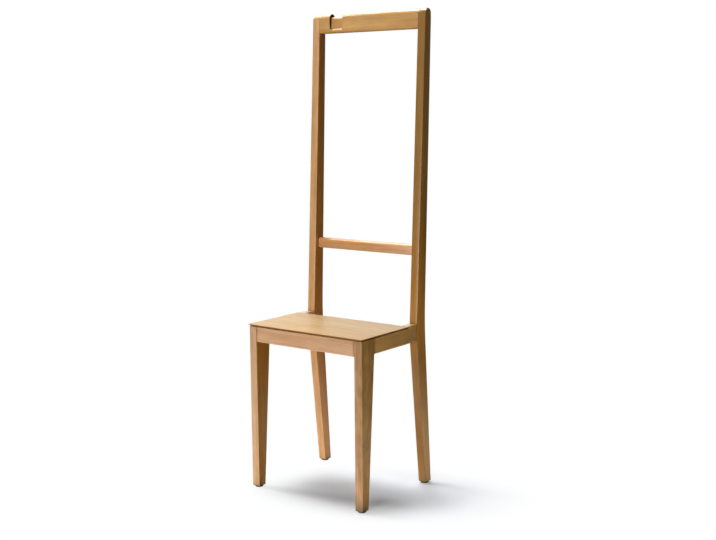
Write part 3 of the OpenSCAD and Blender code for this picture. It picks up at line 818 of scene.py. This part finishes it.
def makeTurnedTree():
    # input: the places, one point each, with the vector attribute "aim"
    # spine: a line of points on Z with the attribute "girth", the radius there
    tree = bpy.data.node_groups.new("turnedPieces", "GeometryNodeTree")
    given, made = groupSockets(tree, (
        ("Geometry", "Geometry", None),
        ("Spine", "Object", None),
        ("Sides", "Int", 24),
        ("Flute Depth", "Float", 0.0),
        ("Thread Pitch", "Float", 0.0),
        ("Thread Depth", "Float", 0.0),
        ("Cross Width", "Float", 0.0),
        ("Cross Depth", "Float", 0.0),
        ("Material", "Material", None),
    ), (("Geometry", "Geometry"),))
    body = cutCross(tree, given, carveSkin(tree, given, sweepSpine(tree, given)))
    aimed = addNode(tree, "FunctionNodeAlignRotationToVector", axis="Z")
    feed(tree, aimed.inputs["Vector"], named(tree, "aim", "FLOAT_VECTOR"))
    spread = addNode(tree, "GeometryNodeInstanceOnPoints")
    feed(tree, spread.inputs["Points"], given["Geometry"])
    feed(tree, spread.inputs["Instance"], body)
    feed(tree, spread.inputs["Rotation"], aimed.outputs[0])
    real = addNode(tree, "GeometryNodeRealizeInstances")
    feed(tree, real.inputs[0], spread.outputs[0])
    dressed = addNode(tree, "GeometryNodeSetMaterial")
    feed(tree, dressed.inputs["Geometry"], real.outputs[0])
    feed(tree, dressed.inputs["Material"], given["Material"])
    feed(tree, made["Geometry"], dressed.outputs[0])
    return tree


turnedTree = makeTurnedTree()


def pointsObject(name, points, edges, attributes):
    mesh = bpy.data.meshes.new(name)
    mesh.from_pydata(points, edges, [])
    for key, (kind, values) in attributes.items():
        layer = mesh.attributes.new(key, kind, "POINT")
        field = "vector" if kind == "FLOAT_VECTOR" else "value"
        flat = [c for v in values for c in v] if kind == "FLOAT_VECTOR" else values
        layer.data.foreach_set(field, flat)
    return addObject(name, mesh)


def turned(name, node, places, aims, profile, material, materialSlot, **inputs):
    # profile: (height on the axis, radius, how strongly flutes or thread work there)
    spine = pointsObject(name + "Spine", [(0, 0, z) for z, _, _ in profile],
                         [(i, i + 1) for i in range(len(profile) - 1)],
                         {"girth": ("FLOAT", [r for _, r, _ in profile]),
                          "worked": ("FLOAT", [w for _, _, w in profile])})
    thing = pointsObject(name, places, [], {"aim": ("FLOAT_VECTOR", aims)})
    modifier = thing.modifiers.new("turned", "NODES")
    modifier.node_group = turnedTree
    sockets = {s.name: s.identifier for s in turnedTree.interface.items_tree if s.in_out == "INPUT"}
    for key, value in {"Spine": spine, "Material": material, **inputs}.items():
        modifier[sockets[key.replace("_", " ")]] = value
    mesh = plainMesh(thing)
    mesh.polygons.foreach_set("use_smooth", [True] * len(mesh.polygons))
    mesh.set_sharp_from_angle(angle=turning["crease"])
    bpy.data.objects.remove(spine)
    handOver(thing, [node])


def islandOf(start, seen):
    # the places of all points joined to the first one
    stack, island = [start], []
    seen.add(start.index)
    while stack:
        vert = stack.pop()
        island.append(vert.co.copy())
        for edge in vert.link_edges:
            other = edge.other_vert(vert)
            if other.index not in seen:
                seen.add(other.index)
                stack.append(other)
    return island


def solidsOf(node):
    # centre, half size and points of each separate solid in a node
    work = bmesh.new()
    work.from_mesh(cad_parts[node].data)
    bmesh.ops.remove_doubles(work, verts=work.verts, dist=easing["merge"])
    seen, found = set(), []
    for start in work.verts:
        if start.index not in seen:
            island = islandOf(start, seen)
            low = Vector(min(p[i] for p in island) for i in range(3))
            high = Vector(max(p[i] for p in island) for i in range(3))
            found.append(((low + high) / 2, (high - low) / 2, island))
    work.free()
    return found


def longAxis(half):
    axis = max(range(3), key=lambda i: half[i])
    return Vector(1.0 if i == axis else 0.0 for i in range(3)), half[axis], min(half)


dowel = {
    "chamfer": 1.0 * mm,
    "sides": 72,
    "flute": 0.28 * mm,
    "fluteFade": 0.35,  # how much of the flute's depth is left at the chamfer
    "wood": {"pith": (0.30, 0.20), "rougher": 0.25, "lacquer": 0.0, "rings": 0.25, "bands": 0.3},
    "firstSeed": 31,
}


def makeDowels(node, seed):
    solids = solidsOf(node)
    aim, reach, radius = longAxis(solids[0][1])
    piece = {**dowel["wood"], "grain": "X" if aim.x else "Y", "seed": seed}
    material = woodMaterial(node + "Wood", piece, "dowelPale", "dowelDeep")
    end, fade = dowel["chamfer"], dowel["fluteFade"]
    half = [(0.0, radius, 1.0), (reach - 2 * end, radius, 1.0), (reach - end, radius, fade),
            (reach, radius - end, 0.0)]
    profile = [(-z, r, w) for z, r, w in reversed(half[1:])] + half
    places = [centre for centre, _, _ in solids]
    turned(node + "_fluted", node, places, [aim] * len(places), profile, material, "dowel_wood",
           Sides=dowel["sides"], Flute_Depth=dowel["flute"])


dowelNodes = sorted(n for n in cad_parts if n.endswith("_dowels"))
for seed, node in enumerate(dowelNodes, dowel["firstSeed"]):
    makeDowels(node, seed)
print("dowels made:", len(dowelNodes), "nodes")


# dome: how deep below the head's top, and the share of the head's radius there
screw = {
    "sides": 28,
    "dome": ((0.0, 0.62), (0.25 * mm, 0.80), (0.8 * mm, 0.95), (1.4 * mm, 1.0)),
    "pitch": 1.7 * mm,
    "depth": 0.62 * mm,
    "perPitch": 8,  # rings of points for each turn of thread
    "tipRings": 12,
    "tipTaper": 0.94,
    "smoothNeck": 0.30,  # share of the shank left without thread
    "crossWidth": 1.1 * mm,
    "crossDepth": 1.5 * mm,
}
nail = {
    "sides": 24,
    "dome": ((0.0, 0.88), (0.2 * mm, 1.0)),
    "firstRing": 0.6 * mm,
    "ringPitch": 1.0 * mm,
    "ringDepth": 0.12 * mm,
    "ringSlope": 0.75,  # share of the pitch
    "plainTip": 5 * mm,
    "tipRadius": 0.08 * mm,
}
head = {
    "rim": 0.15 * mm,
    "underStep": 0.01 * mm,  # the height of the flat face under a head
    "clearOfHead": 0.05 * mm,
    "nearlyFull": 0.9,  # a radius above this share of the widest belongs to the full width
}
steel = steelMaterial()


def fastenerShape(solid):
    # a screw or nail measured from its own solid: its head is where it is widest
    centre, half, island = solid
    aim, reach, _ = longAxis(half)
    heights = [(p - centre).dot(aim) for p in island]
    radii = [(p - centre - aim * h).length for p, h in zip(island, heights)]
    if heights[radii.index(max(radii))] > 0:
        aim = -aim  # it points from head to tip
        heights = [-h for h in heights]
    depths = [(h + reach, r) for h, r in zip(heights, radii)]
    wide = max(radii)
    under = max(d for d, r in depths if r > head["nearlyFull"] * wide)
    thin = max(r for d, r in depths if d > under + head["clearOfHead"])
    return {"top": centre - aim * reach, "aim": aim, "length": 2 * reach, "wide": wide, "under": under,
            "thin": thin, "tipFrom": max(d for d, r in depths if r > head["nearlyFull"] * thin)}


def headProfile(dome, shape):
    wide, under, thin = shape["wide"], shape["under"], shape["thin"]
    rounded = [(depth, wide * share, 0) for depth, share in dome]
    return rounded + [(under - head["rim"], wide, 0), (under, wide - head["rim"], 0),
                      (under + head["underStep"], thin, 0)]


def screwProfile(shape):
    length, thin = shape["length"], shape["thin"]
    neck = shape["under"] + (length - shape["under"]) * screw["smoothNeck"]
    step = screw["pitch"] / screw["perPitch"]
    rings = int((shape["tipFrom"] - neck) / step)
    profile = headProfile(screw["dome"], shape)
    profile += [(neck + step * i, thin, min(1.0, i / screw["perPitch"])) for i in range(rings + 1)]
    start = profile[-1][0]
    for i in range(1, screw["tipRings"] + 1):
        share = i / screw["tipRings"]
        radius = thin * (1 - share * screw["tipTaper"])
        profile.append((start + (length - start) * share, radius, 1.0 - share))
    return profile


def nailProfile(shape):
    length, thin = shape["length"], shape["thin"]
    profile = headProfile(nail["dome"], shape)
    height = shape["under"] + nail["firstRing"]
    while height < length - nail["plainTip"]:
        slopeEnd = height + nail["ringPitch"] * nail["ringSlope"]
        profile += [(height, thin, 0), (slopeEnd, thin - nail["ringDepth"], 0)]
        height += nail["ringPitch"]
    return profile + [(shape["tipFrom"], thin, 0), (length, nail["tipRadius"], 0)]


def makeFasteners(node, ending, makeProfile, **inputs):
    shapes = [fastenerShape(solid) for solid in solidsOf(node)]
    turned(node + ending, node, [s["top"] for s in shapes], [s["aim"] for s in shapes],
           makeProfile(shapes[0]), steel, "steel", **inputs)


for node in sorted(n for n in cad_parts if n.endswith("_screws")):
    makeFasteners(node, "_threaded", screwProfile, Sides=screw["sides"],
                  Thread_Pitch=screw["pitch"], Thread_Depth=screw["depth"],
                  Cross_Width=screw["crossWidth"], Cross_Depth=screw["crossDepth"])
print("screws made")

makeFasteners("glide_nails", "_ringed", nailProfile, Sides=nail["sides"])
print("nails made")


studio = {
    "floorRadius": 9.0,
    "floorSides": 96,
    "floorColour": (0.90, 0.95, 0.99),
    "floorRoughness": 0.9,
    # past this oval round the shadow the floor fades to the backdrop's white
    "shadowCentre": (0.136, 0.008),
    "shadowTurn": 25.5,
    "shadowSlim": 1.75,
    "shadowEdge": (0.123, 0.44),
    # what the floor gives back to the chair, from near and from far
    "bounce": ((0.95, 0.76, 0.55), (0.10, 0.08, 0.06)),
    "bounceCentre": (0.12, -0.02),
    "bounceEdge": (0.40, 1.3),
    "ambient": (0.165, 0.165, 0.165),
    # what shows in the gloss: a white backdrop this way, and a dim room elsewhere
    "backdropTo": (-0.6, 0.8, 0.0),
    "backdropEdge": (0.45, 0.80),
    "horizon": (-0.03, 0.04),
    "room": (0.035, 0.03, 0.025),
}


def shadowOval(tree, place):
    # 0 within the oval, 1 well past it
    centre = (*studio["shadowCentre"], 0.0)
    oval = addNode(tree, "ShaderNodeVectorRotate", rotation_type="Z_AXIS")
    feed(tree, oval.inputs["Vector"], place)
    oval.inputs["Center"].default_value = centre
    oval.inputs["Angle"].default_value = -math.radians(studio["shadowTurn"])
    away = calcVector(tree, "SUBTRACT", oval.outputs[0], centre)
    slimmed = calcVector(tree, "MULTIPLY", away, (1.0, studio["shadowSlim"], 1.0))
    return ramp(tree, calcVector(tree, "LENGTH", slimmed), *studio["shadowEdge"])


def bounceColour(tree, place):
    near, far = studio["bounce"]
    away = calcVector(tree, "SUBTRACT", place, (*studio["bounceCentre"], 0.0))
    distance = ramp(tree, calcVector(tree, "LENGTH", away), *studio["bounceEdge"])
    return mixColour(tree, distance, (*near, 1), (*far, 1))


def makeFloor():
    mesh = bpy.data.meshes.new("studioFloor")
    work = bmesh.new()
    bmesh.ops.create_circle(work, cap_ends=True, segments=studio["floorSides"], radius=studio["floorRadius"])
    work.to_mesh(mesh)
    work.free()
    material, tree, shader = newMaterial("paleFloor")
    shader.inputs["Roughness"].default_value = studio["floorRoughness"]
    shader.inputs["Specular IOR Level"].default_value = 0.0
    seen = addNode(tree, "ShaderNodeLightPath").outputs["Is Camera Ray"]
    place = objectPlace(tree)
    colour = mixColour(tree, seen, bounceColour(tree, place), (*studio["floorColour"], 1))
    feed(tree, shader.inputs["Base Color"], colour)
    white = addNode(tree, "ShaderNodeEmission")
    blend = addNode(tree, "ShaderNodeMixShader")
    feed(tree, blend.inputs[0], calc(tree, "MULTIPLY", shadowOval(tree, place), seen))
    tree.links.new(shader.outputs[0], blend.inputs[1])
    tree.links.new(white.outputs[0], blend.inputs[2])
    tree.links.new(blend.outputs[0], tree.nodes["Material Output"].inputs["Surface"])
    mesh.materials.append(material)
    addObject("studioFloor", mesh)


def makeWorld():
    world = bpy.data.worlds.new("studioWorld")
    world.use_nodes = True
    bpy.context.scene.world = world
    tree = world.node_tree
    tree.nodes.clear()
    rays = addNode(tree, "ShaderNodeLightPath").outputs
    way = addNode(tree, "ShaderNodeTexCoord").outputs["Generated"]
    facing = calcVector(tree, "DOT_PRODUCT", way, studio["backdropTo"])
    aboveFloor = ramp(tree, splitVector(tree, way)["Z"], *studio["horizon"])
    backdrop = calc(tree, "MULTIPLY", ramp(tree, facing, *studio["backdropEdge"]), aboveFloor)
    mirrored = mixColour(tree, backdrop, (*studio["room"], 1), (1, 1, 1, 1))
    colour = mixColour(tree, rays["Is Glossy Ray"], (*studio["ambient"], 1), mirrored)
    colour = mixColour(tree, rays["Is Camera Ray"], colour, (1, 1, 1, 1))
    background = addNode(tree, "ShaderNodeBackground")
    feed(tree, background.inputs["Color"], colour)
    out = addNode(tree, "ShaderNodeOutputWorld")
    tree.links.new(background.outputs[0], out.inputs["Surface"])


lamps = {
    "overheadBox": {
        "at": (-0.614, 0.144, 4.2), "to": (0.0, -0.05, 0.3), "size": (1.53, 1.35), "power": 138.0,
    },
    "sideBox": {
        "at": (-2.70, -0.405, 2.65), "to": (0.0, 0.0, 0.3), "size": (0.84, 0.38), "power": 36.0,
    },
    "frontBox": {
        "at": (0.5, -3.7, 0.7), "to": (0.0, 0.0, 0.5), "size": (1.6, 1.0), "power": 76.0,
    },
    # it only shows in gloss, as on the lacquer of the rounded tops
    "sheenBox": {
        "at": (-1.77, 0.42, 3.70), "to": (0.0, 0.14, 1.3), "size": (2.6, 1.3), "power": 62.0,
        "sheenOnly": True,
    },
}


def makeLamp(name, lamp):
    light = bpy.data.lights.new(name, "AREA")
    light.shape = "RECTANGLE"
    light.size, light.size_y = lamp["size"]
    light.energy = lamp["power"]
    thing = addObject(name, light)
    thing.location = lamp["at"]
    thing.rotation_euler = (Vector(lamp["to"]) - Vector(lamp["at"])).to_track_quat("-Z", "Y").to_euler()
    thing.visible_diffuse = not lamp.get("sheenOnly", False)


makeFloor()
makeWorld()
for name, lamp in lamps.items():
    makeLamp(name, lamp)
print("studio made")


# the photo's own view: where it was taken from, in metres and degrees
shot = {
    "at": (1.88779, -2.44021, 1.05128),
    "azimuth": 36.808,
    "down": 8.2565,
    "roll": -0.4719,
    "focal": 1146.36,  # in pixels of a picture 716 wide
    "width": 716,
    "sensor": 36.0,
}


def makeCamera():
    camera = bpy.data.cameras.new("photoCamera")
    camera.sensor_fit = "HORIZONTAL"
    camera.sensor_width = shot["sensor"]
    camera.lens = shot["focal"] / shot["width"] * shot["sensor"]
    thing = addObject("photoCamera", camera)
    turn = Euler((math.radians(90 - shot["down"]), 0, math.radians(shot["azimuth"])), "XYZ").to_matrix()
    turn = turn @ Matrix.Rotation(math.radians(shot["roll"]), 3, "Z")
    thing.matrix_world = Matrix.Translation(shot["at"]) @ turn.to_4x4()
    bpy.context.scene.camera = thing


makeCamera()
bpy.context.scene.view_settings.view_transform = "Standard"
print("camera made")
